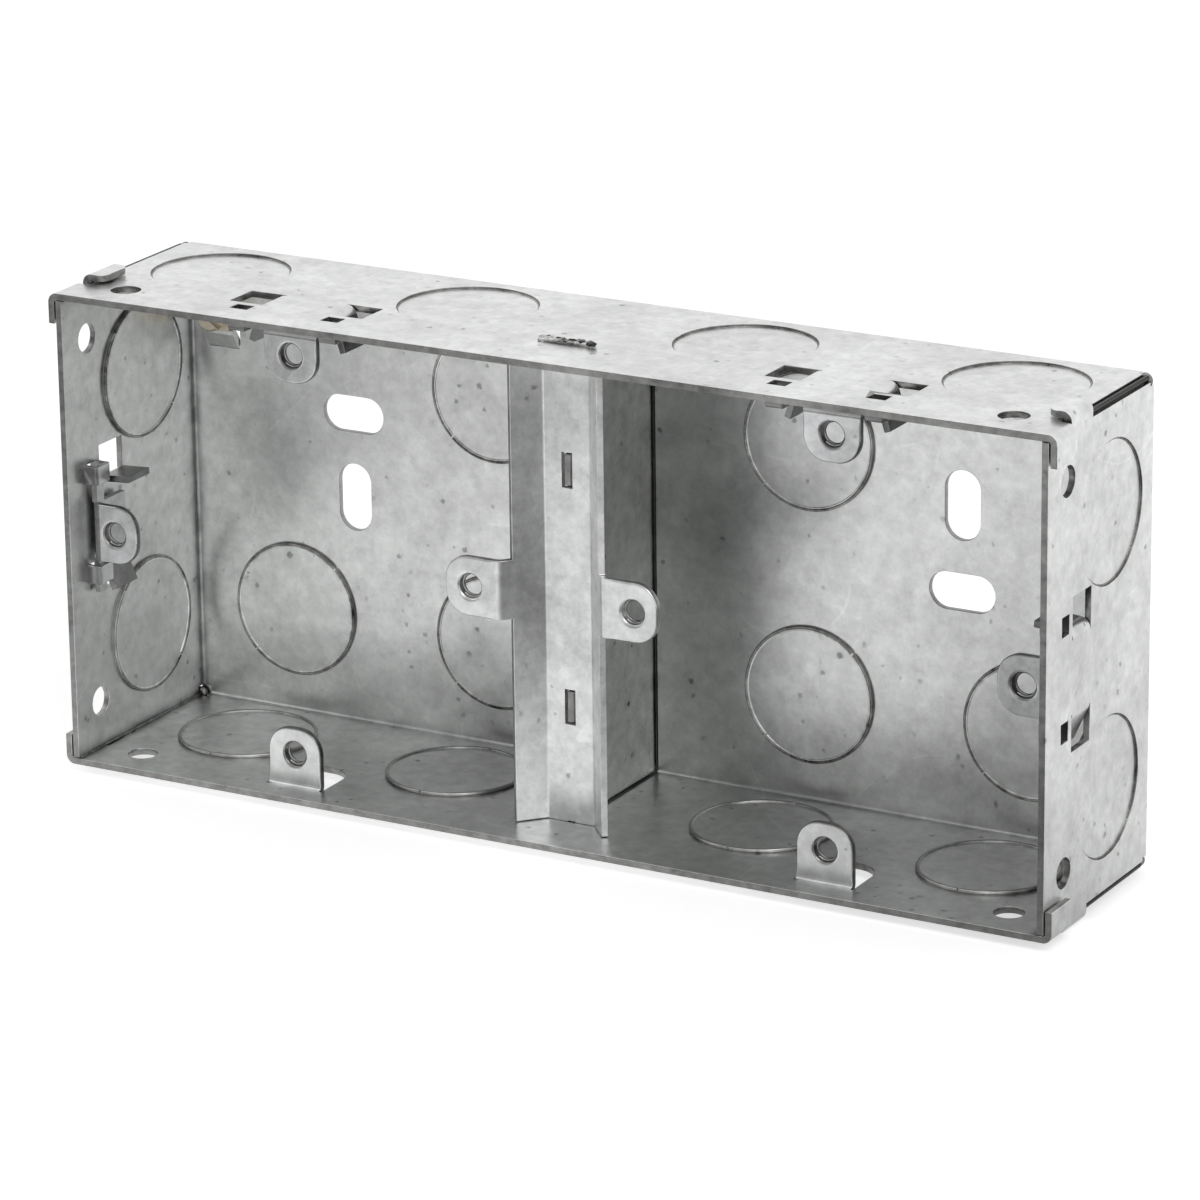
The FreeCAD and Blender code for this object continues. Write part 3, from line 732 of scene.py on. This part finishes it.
# %% [markdown]
# ## Folded corners
#
# The walls are folded up side by side and aren't welded, so a dark line of shade runs down each
# corner inside the box, and outside the open seam is a black slit. The gap is in the CAD mesh, but
# it is so thin that light which has bounced a few times makes it pale. A straight bead in each
# corner keeps it dark: a painted shade inside and a painted shadow in the slit outside. One tree
# draws a bead along the edges of any mesh, so later steps use it too.


# %% A bead along lines
def seam_tree():
    """A thin bead along each edge of the carrier mesh."""
    tree, inside, outside = geometry_tree("seam_line", (
        ("Line Width", "NodeSocketFloat", 0.0003), ("Material", "NodeSocketMaterial", None)))
    new, link = tree.nodes.new, tree.links.new
    path = new("GeometryNodeMeshToCurve")
    link(inside.outputs["Geometry"], path.inputs["Mesh"])
    half_width = maths(tree, "MULTIPLY", inside.outputs["Line Width"], 0.5)
    smooth = new("GeometryNodeSetShadeSmooth")
    link(swept_bead(tree, path.outputs["Curve"], line_corners, half_width), smooth.inputs["Geometry"])
    realized_and_painted(tree, inside, outside, smooth.outputs["Geometry"])
    return tree


def line_mesh(name, lines):
    """A mesh of open lines, each a list of points."""
    mesh = bpy.data.meshes.new(name)
    points, edges = [], []
    for line in lines:
        edges += [(len(points) + i, len(points) + i + 1) for i in range(len(line) - 1)]
        points += line
    mesh.from_pydata(points, edges, [])
    return mesh


def four_corners(x, z, first, last):
    """A straight line from front to back in each corner of the box."""
    return [[Vector((sx * x, first, sz * z)), Vector((sx * x, last, sz * z))]
            for sx in (-1, 1) for sz in (-1, 1)]


corner_line = seam_tree()
print("line tree nodes:", len(corner_line.nodes))

# %% The lines in the corners, inside and outside
seam_x, seam_z, seam_width = 77.97 * MM, 34.97 * MM, 0.5 * MM
seam_span = box_front + 0.4 * MM, -1.9 * MM
seam_lines = four_corners(seam_x, seam_z, *seam_span)
# Painted shade in the inside corners
seams = applied(corner_line, "seam_lines", line_mesh("seam_marks", seam_lines), {
    "Line Width": seam_width, "Material": painted_shade_line})
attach(seams, "box")

slit_x, slit_z, slit_width = 78.5 * MM, 35.5 * MM, 0.75 * MM
slit_span = box_front + 1.5 * MM, -2.4 * MM
slit_lines = four_corners(slit_x, slit_z, *slit_span)
# Painted shadow in the open seams outside
slits = applied(corner_line, "seam_slits", line_mesh("slit_marks", slit_lines), {
    "Line Width": slit_width, "Material": painted_gap_shadow})
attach(slits, "box")

# %% [markdown]
# ## Burrs in the relief holes
#
# The relief hole at each corner of the back is nearly closed, because folding pushes metal into
# it. Sculpting that metal would take long for something a millimetre wide. Two fat rings, painted
# dark as the shade in the corner, leave only a pinhole, and they are the knockout's ring tree again
# with other sizes and no break.

# %% Burrs
burr_radius, burr_width = 0.55 * MM, 1.1 * MM
burr_rings = ((77.45 * MM, -0.7 * MM, 34.45 * MM), (77.95 * MM, -1.75 * MM, 34.9 * MM))
towards_front = Vector((0, -1, 0))
corner_places = [(Vector((sx * x, y, sz * z)), towards_front, 0.0)
                 for sx in (-1, 1) for sz in (-1, 1) for x, y, z in burr_rings]
burrs = applied(sheared_ring, "corner_burrs", marks_mesh("corner_marks", corner_places), {
    "Radius": burr_radius, "Line Width": burr_width, "Bridge Angle": 0.0, "Material": shaded_crevice_zinc})
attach(burrs, "box")

# %% [markdown]
# ## Staked tabs
#
# The partition's end tabs are hammered over in their slots. That leaves a ragged dark line of
# shade on each side and a row of crushed lumps on top. A noise on the flat tab would be too regular
# and would stay flat at the edge. The lines are beads on a path with a small seeded wobble, painted
# in shade, and the lumps are small balls, pressed flat to uneven sizes and torn by noise, along each
# tab. Some lumps are near black, as painted shadow between the others.

# %% Ragged lines beside the tabs
dice = random.Random(11)
stake_z, stake_reach = 36.03 * MM, 4.1 * MM
stake_side, stake_wobble, stake_width = 0.6 * MM, 0.16 * MM, 0.6 * MM
ragged_steps = 12


def ragged(side, level, first, last, wobble):
    """Points of a ragged line along a slot, `side` away from its middle."""
    return [Vector((first + (last - first) * i / ragged_steps,
                    stake_y + side + dice.uniform(-wobble, wobble),
                    level + dice.uniform(-wobble, wobble) / 2)) for i in range(ragged_steps + 1)]


dark_lines = [ragged(side, level, -stake_reach, stake_reach, stake_wobble)
              for level in (stake_z, -stake_z) for side in (-stake_side, stake_side)]
# Painted shade in the slots beside the tabs
stakes = applied(corner_line, "stake_lines", line_mesh("stake_marks", dark_lines), {
    "Line Width": stake_width, "Material": painted_shade_line})
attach(stakes, "box")

# %% A lump of crushed metal
ball_levels, tear_scale = 3, 1300.0
# Length, breadth and height of a lump, as shares of its size
least_lump, most_lump = (0.7, 0.45, 0.25), (1.5, 0.95, 0.55)


def lump_tree():
    """A rough lump of crushed metal on each point, of uneven size."""
    tree, inside, outside = geometry_tree("crushed_lumps", (
        ("Size", "NodeSocketFloat", 0.0007), ("Ruggedness", "NodeSocketFloat", 0.0005),
        ("Seed", "NodeSocketInt", 3), ("Material", "NodeSocketMaterial", None)))
    new, link = tree.nodes.new, tree.links.new
    ball = add_node(tree, "GeometryNodeMeshIcoSphere", Subdivisions=ball_levels)
    link(inside.outputs["Size"], ball.inputs["Radius"])
    sizes = add_node(tree, "FunctionNodeRandomValue", data_type="FLOAT_VECTOR",
                     Min=least_lump, Max=most_lump)
    link(inside.outputs["Seed"], sizes.inputs["Seed"])
    spread = new("GeometryNodeInstanceOnPoints")
    link(inside.outputs["Geometry"], spread.inputs["Points"])
    link(ball.outputs["Mesh"], spread.inputs["Instance"])
    link(sizes.outputs["Value"], spread.inputs["Scale"])
    real = new("GeometryNodeRealizeInstances")
    link(spread.outputs["Instances"], real.inputs["Geometry"])
    grain = add_node(tree, "ShaderNodeTexNoise", Scale=tear_scale)
    offset = add_node(tree, "ShaderNodeVectorMath", operation="SUBTRACT")
    offset.inputs[1].default_value = (0.5, 0.5, 0.5)
    link(grain.outputs["Color"], offset.inputs[0])
    scaled = add_node(tree, "ShaderNodeVectorMath", operation="SCALE")
    link(offset.outputs["Vector"], scaled.inputs["Vector"])
    link(inside.outputs["Ruggedness"], scaled.inputs["Scale"])
    torn = new("GeometryNodeSetPosition")
    link(real.outputs["Geometry"], torn.inputs["Geometry"])
    link(scaled.outputs["Vector"], torn.inputs["Offset"])
    realized_and_painted(tree, inside, outside, torn.outputs["Geometry"])
    return tree


crushed_lumps = lump_tree()
print("lump tree nodes:", len(crushed_lumps.nodes))

# %% Lumps along the tabs
tab_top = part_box("partition_bridge")[1].z
lump_sink, lump_size, lump_ruggedness = 0.12 * MM, 0.62 * MM, 0.7 * MM
# How far the lumps stand from the middle of a tab, across it and along it, in millimetres
lump_scatter = 0.35
# The dark lumps are painted shadow between the bright ones
for name, steps, finish in (("bright_lumps", (-3.9, -2.2, -0.3, 0.5, 2.1, 3.4), crushed_zinc),
                            ("shadow_lumps", (-3.2, -1.2, 1.3, 2.7, 4.1), painted_gap_shadow)):
    places = [Vector((step * MM, stake_y + dice.uniform(-lump_scatter, lump_scatter) * MM,
                      side * (tab_top - lump_sink))) for side in (1, -1) for step in steps]
    lumps = applied(crushed_lumps, name, line_mesh(name + "_places", [[place] for place in places]), {
        "Size": lump_size, "Ruggedness": lump_ruggedness, "Seed": 5, "Material": finish})
    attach(lumps, "box")

# %% [markdown]
# ## The gap round the divider
#
# The divider is a loose plate. It stands a little away from the back and from the bottom, and
# the photograph shows that gap as the darkest line of the box. The CAD gap is true to size, but
# light runs into it from both sides. A bead of near black metal in the angle gives the line.

# %% The dark gap behind and below the divider
gap_width = 0.55 * MM
gap_front = box_front + 12 * MM
divider_low, divider_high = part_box("divider_plate")
gap_x, gap_y, gap_z = divider_high.x + 0.15 * MM, back_y - 0.02 * MM, divider_low.z - 0.1 * MM
gap_path = [Vector((gap_x, gap_y, divider_high.z)), Vector((gap_x, gap_y, gap_z)),
            Vector((gap_x, gap_front, gap_z))]
# Painted shadow in the gap behind and below the divider
gaps = applied(corner_line, "divider_gap_lines", line_mesh("divider_gap_marks", [gap_path]), {
    "Line Width": gap_width, "Material": painted_gap_shadow})
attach(gaps, "box")

# %% [markdown]
# ## Screw threads
#
# Each ear has a tapped hole for the accessory's M3.5 screw. The thread is too fine for the CAD
# model, but it catches the light inside the holes. A spiral with a sharp profile makes one
# thread, and Geometry Nodes put it in every hole. The places come from the record's mounts, and
# the threads of a lug ride on that lug.

# %% Thread
thread_pitch, thread_depth = 0.6 * MM, 0.24 * MM
turn_steps, ridge_corners = 28, 4


def thread_tree():
    """A spiral ridge on each mark."""
    tree, inside, outside = geometry_tree("tapped_thread", (
        ("Radius", "NodeSocketFloat", 0.00175), ("Length", "NodeSocketFloat", 0.0019),
        ("Pitch", "NodeSocketFloat", 0.0006), ("Depth", "NodeSocketFloat", 0.00024),
        ("Material", "NodeSocketMaterial", None)))
    link = tree.links.new
    spiral = add_node(tree, "GeometryNodeCurveSpiral", Resolution=turn_steps)
    turns = maths(tree, "DIVIDE", inside.outputs["Length"], inside.outputs["Pitch"])
    link(inside.outputs["Radius"], spiral.inputs["Start Radius"])
    link(inside.outputs["Radius"], spiral.inputs["End Radius"])
    link(inside.outputs["Length"], spiral.inputs["Height"])
    link(turns, spiral.inputs["Rotations"])
    upright = add_node(tree, "GeometryNodeSetCurveNormal", mode="Z_UP")
    link(spiral.outputs["Curve"], upright.inputs["Curve"])
    ridge = swept_bead(tree, upright.outputs["Curve"], ridge_corners, inside.outputs["Depth"])
    placed_on_marks(tree, inside, outside, ridge)
    return tree


tapped_thread = thread_tree()
print("thread tree nodes:", len(tapped_thread.nodes))

# %% A thread in each tapped hole
hole_bodies = {"screw_left_top": "top_left_slider", "screw_right_top": "top_right_slider",
               "screw_left_end": "left_end_slider", "screw_right_end": "right_end_slider"}
thread_holes = {body: [] for body in ("box", *hole_bodies.values())}
tapped = [mount for mount in frame["record"]["mounts"] if mount["kind"] == "threaded_hole"]
# The ears are all equally thick
hole_length = tapped[0]["dims"]["length_mm"] * MM
for mount in tapped:
    place, facing = Vector(mount["pos_m"]), Vector(mount["axis"])
    start = place - facing * (hole_length / 2 - thread_depth)
    thread_holes[hole_bodies.get(mount["name"], "box")].append((start, facing, 0.0))
for body, marks in thread_holes.items():
    name = "thread_" + body
    thread = applied(tapped_thread, name, marks_mesh(name, marks), {
        "Radius": hole_radius, "Length": hole_length - 2 * thread_depth - funnel * MM,
        "Pitch": thread_pitch, "Depth": thread_depth, "Material": thread_steel})
    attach(thread, body)

# %% [markdown]
# ## The earth terminal
#
# A small washer and a slotted screw hold the earth wire. They are brass, and the only warm
# colour on the box. Their CAD shapes are enough, since only a few millimetres of them show.

# %% Brass
for node in ("earth_washer", "earth_screw"):
    frame["nodes"][node].data.materials.clear()
    frame["nodes"][node].data.materials.append(earth_brass)
    print("brass:", node)

# %% [markdown]
# ## Studio
#
# The photograph shows the box on plain white in soft even light. Metal has no colour of its own:
# it shows what stands around it, so the world is white to the camera and to reflections. A
# photographer lays dark cards beside a metal object, because without them it looks flat. Here
# they are soft dim ovals on the floor and a dim part of the sky, which only reflections see.
# The floor is pale and keeps a soft shadow.


# %% Which rays see the dim parts
def seen_rays(tree):
    """1 for rays from the camera and for reflections, 0 for the rest."""
    path = tree.nodes.new("ShaderNodeLightPath")
    both = maths(tree, "MAXIMUM", path.outputs["Is Camera Ray"], path.outputs["Is Glossy Ray"])
    return maths(tree, "MAXIMUM", both, path.outputs["Is Transmission Ray"])


def in_reflections(tree, level):
    """The level for reflections, and 1 for all other rays."""
    path = tree.nodes.new("ShaderNodeLightPath")
    less = maths(tree, "SUBTRACT", level, 1.0)
    return maths(tree, "MULTIPLY_ADD", less, path.outputs["Is Glossy Ray"], 1.0)


# %% Dim ovals
# Each oval: middle and half size on the floor in millimetres, and its level
floor_ovals = [((108, -138), (98, 122), 0.08), ((228, -118), (90, 90), 0.10),
               ((-170, -235), (95, 95), 0.15), ((130, 60), (90, 120), 0.8), ((-115, -110), (70, 60), 0.86)]
# An oval is fully dim up to the first share of its half size, and gone past the second
oval_core, oval_rim = 0.5, 1.3


def dim_oval(tree, middle, half, level):
    """1 outside an oval on the floor, and less towards its middle, down to the level."""
    place = tree.nodes.new("ShaderNodeTexCoord")
    oval = add_node(tree, "ShaderNodeMapping", Location=(-middle[0] / half[0], -middle[1] / half[1], 0),
                    Scale=(1000 / half[0], 1000 / half[1], 0))
    tree.links.new(place.outputs["Object"], oval.inputs["Vector"])
    away = add_node(tree, "ShaderNodeVectorMath", operation="LENGTH")
    tree.links.new(oval.outputs["Vector"], away.inputs[0])
    return ranged(tree, away.outputs["Value"], oval_core, oval_rim, level, 1.0)


print("dim ovals on the floor:", len(floor_ovals))

# %% Floor
floor_half_size, floor_grey, floor_glow = 12.0, 0.80, 0.52


def make_floor():
    """A wide pale floor under the box."""
    mesh = bpy.data.meshes.new("studio_floor")
    size, level = floor_half_size, cad_low.z
    corners = [(-size, -size, level), (size, -size, level), (size, size, level), (-size, size, level)]
    mesh.from_pydata(corners, [], [(0, 1, 2, 3)])
    floor = linked("studio_floor", mesh)
    material = bpy.data.materials.new("studio_white")
    material.use_nodes = True
    tree = material.node_tree
    shader = tree.nodes["Principled BSDF"]
    shader.inputs["Roughness"].default_value = 1.0
    shader.inputs["Specular IOR Level"].default_value = 0.0
    shader.inputs["Emission Color"].default_value = (1, 1, 1, 1)
    dim = 1.0
    for middle, half, oval_level in floor_ovals:
        dim = maths(tree, "MULTIPLY", dim_oval(tree, middle, half, oval_level), dim)
    dim = in_reflections(tree, dim)
    glow = maths(tree, "MULTIPLY", seen_rays(tree), floor_glow)
    tree.links.new(maths(tree, "MULTIPLY", dim, floor_grey), shader.inputs["Base Color"])
    tree.links.new(maths(tree, "MULTIPLY", glow, dim), shader.inputs["Emission Strength"])
    mesh.materials.append(material)


make_floor()
print("floor at", round(cad_low.z / MM, 2), "mm")

# %% World
dim_direction = (-0.467, -0.828, 0.311)
dim_sky = 0.34
# How closely a direction follows the dim one, where the dimming starts and where it is full
dim_from, dim_full = 0.72, 0.97
# The sky lights the box with this strength, and the camera and reflections see it as 1
sky_light = 0.55
world = bpy.data.worlds.new("studio")
bpy.context.scene.world = world
world.use_nodes = True
sky = world.node_tree
background = sky.nodes["Background"]
background.inputs["Color"].default_value = (1, 1, 1, 1)
towards = add_node(sky, "ShaderNodeVectorMath", operation="DOT_PRODUCT")
towards.inputs[1].default_value = dim_direction
sky.links.new(add_node(sky, "ShaderNodeTexCoord").outputs["Generated"], towards.inputs[0])
lobe = in_reflections(sky, ranged(sky, towards.outputs["Value"], dim_from, dim_full, 1.0, dim_sky))
plain = maths(sky, "MULTIPLY_ADD", seen_rays(sky), 1.0 - sky_light, sky_light)
sky.links.new(maths(sky, "MULTIPLY", plain, lobe), background.inputs["Strength"])
print("dim part of the sky:", dim_sky)


# %% Lamps
def lamp(name, place, size, watts):
    """A square soft lamp that looks at the middle of the box."""
    light = bpy.data.lights.new(name, "AREA")
    light.shape = "SQUARE"
    light.size = size
    light.energy = watts
    thing = linked(name, light)
    thing.location = place
    thing.rotation_euler = Vector(place).to_track_quat("Z", "Y").to_euler()


lamp("upper_right_lamp", (0.7, -0.5, 1.1), 0.7, 4.0)
lamp("left_lamp", (-1.2, -0.35, 1.0), 0.8, 1.6)
print("lamps:", [light.name for light in bpy.data.lights])

# %% [markdown]
# ## Camera
#
# The photograph looks down on the box from its right, through a long lens that keeps the uprights
# almost parallel. The place and the lens come from fitting the corners of the box. Turning the
# view by hand until it looks right would leave the edges some pixels off.

# %% Camera
frame_pixels, focal_pixels = 1200.0, 6096.0
camera_place = Vector((406.4, -736.3, 266.2)) * MM
camera_right = Vector((0.8727, 0.4881, -0.0117))
camera_down = Vector((0.1420, -0.2767, -0.9504))
camera_data = bpy.data.cameras.new("camera")
camera_data.sensor_width = 36.0
camera_data.lens = camera_data.sensor_width * focal_pixels / frame_pixels
camera = linked("camera", camera_data)
right = camera_right.normalized()
down = (camera_down - right * camera_down.dot(right)).normalized()
turn = Matrix((right, -down, -right.cross(down))).transposed()
camera.matrix_world = Matrix.Translation(camera_place) @ turn.to_4x4()
camera_data.clip_start, camera_data.clip_end = 0.05, 50.0
bpy.context.scene.camera = camera
bpy.context.scene.view_settings.view_transform = "Standard"
print("camera at", [round(v, 3) for v in camera.location], "lens", round(camera_data.lens, 1))
